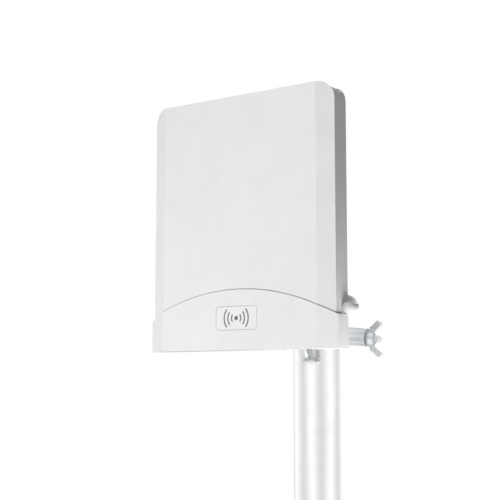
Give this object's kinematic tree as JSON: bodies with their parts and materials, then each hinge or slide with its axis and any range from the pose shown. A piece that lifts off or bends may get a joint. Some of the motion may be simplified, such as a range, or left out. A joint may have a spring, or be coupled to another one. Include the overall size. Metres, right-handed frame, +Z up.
{
  "type": "flat panel antenna",
  "caption": "White flat-panel directional antenna with a service cover, on a tilt bracket and a mast yoke with a wing nut, clamped to a round mast.",
  "frame": {"origin": "centre of the mast's flat foot face, on the mast axis", "axes": "+Z up along the mast axis, the antenna looks along -Y, +X is to the right of someone facing its front"},
  "size_m": [0.2184, 0.1851, 0.41],
  "materials": {
    "chromed_steel": "polished chrome",
    "zinc_plated_steel": "bright zinc plating, slightly blue",
    "black_rubber": "matt rubber",
    "white_radome": "satin moulded white",
    "white_housing": "matt moulded white",
    "badge_white": "satin white plate",
    "aluminium_sheet": "rolled sheet",
    "board_laminate": "green solder mask",
    "nickel_plate": "nickel plate",
    "grey_plastic": "moulded grey",
    "white_boot": "soft white moulding",
    "white_jacket": "smooth cable jacket"
  },
  "bodies": {
    "mast": {"mast_tube": "chromed_steel", "mast_foot_plug": "black_rubber", "mast_cap": "black_rubber"},
    "grip_sleeve": {"grip_sleeve_right": "black_rubber", "grip_sleeve_left": "black_rubber"},
    "yoke": {"mast_yoke": "zinc_plated_steel", "yoke_neck": "zinc_plated_steel", "jaw_block_right": "zinc_plated_steel", "jaw_block_left": "zinc_plated_steel", "cross_bolt": "zinc_plated_steel", "pivot_bolt": "zinc_plated_steel", "pivot_nut": "zinc_plated_steel", "lock_bolt": "zinc_plated_steel", "lock_washer": "zinc_plated_steel", "lock_nut": "zinc_plated_steel"},
    "nut_seat": {"wing_washer": "zinc_plated_steel"},
    "wing_nut": {"wing_nut": "zinc_plated_steel"},
    "service_cover": {"service_cover": "white_radome", "badge_plate": "badge_white"},
    "panel": {"tilt_bracket": "zinc_plated_steel", "radome": "white_radome", "rear_housing": "white_housing", "housing_gasket": "black_rubber", "reflector_plate": "aluminium_sheet", "feed_board": "board_laminate", "coax_socket": "nickel_plate", "coax_nut": "nickel_plate", "vent_plug": "grey_plastic", "side_gland": "white_boot", "rear_gland": "white_boot", "pigtail_lead": "white_jacket", "bracket_screw_1": "zinc_plated_steel", "board_spacer_1": "grey_plastic", "patch_element_1": "aluminium_sheet", "bracket_screw_2": "zinc_plated_steel", "board_spacer_2": "grey_plastic", "patch_element_2": "aluminium_sheet", "bracket_screw_3": "zinc_plated_steel", "board_spacer_3": "grey_plastic", "patch_element_3": "aluminium_sheet", "bracket_screw_4": "zinc_plated_steel", "board_spacer_4": "grey_plastic", "patch_element_4": "aluminium_sheet", "housing_screw_1": "zinc_plated_steel", "housing_screw_2": "zinc_plated_steel", "housing_screw_3": "zinc_plated_steel", "housing_screw_4": "zinc_plated_steel", "housing_screw_5": "zinc_plated_steel", "housing_screw_6": "zinc_plated_steel", "housing_screw_7": "zinc_plated_steel", "housing_screw_8": "zinc_plated_steel"}
  },
  "joints": [
    {"name": "height_slide", "type": "slide", "parent": "mast", "child": "grip_sleeve", "axis": [0, 0, 1], "range_m": [-0.1, 0.03]},
    {"name": "azimuth_turn", "type": "hinge", "parent": "grip_sleeve", "child": "yoke", "pos_m": [0, 0, 0.1876], "axis": [0, 0, 1], "continuous": true},
    {"name": "tilt", "type": "hinge", "parent": "yoke", "child": "panel", "pos_m": [0, -0.07, 0.1876], "axis": [-1, 0, 0], "range_deg": [-15, 30]},
    {"name": "cover_slide", "type": "slide", "parent": "panel", "child": "service_cover", "axis": [0, 0, -1], "range_m": [0, 0.06]},
    {"name": "wing_nut_travel", "type": "slide", "parent": "yoke", "child": "nut_seat", "axis": [1, 0, 0], "range_m": [0, 0.00505]},
    {"name": "wing_nut_spin", "type": "hinge", "parent": "nut_seat", "child": "wing_nut", "pos_m": [0.046, 0.0335, 0.185], "axis": [1, 0, 0], "range_deg": [0, 1440]}
  ],
  "couplings": [
    {"joint": "wing_nut_travel", "follows": "wing_nut_spin", "m_per_rad": 0.00019894}
  ]
}
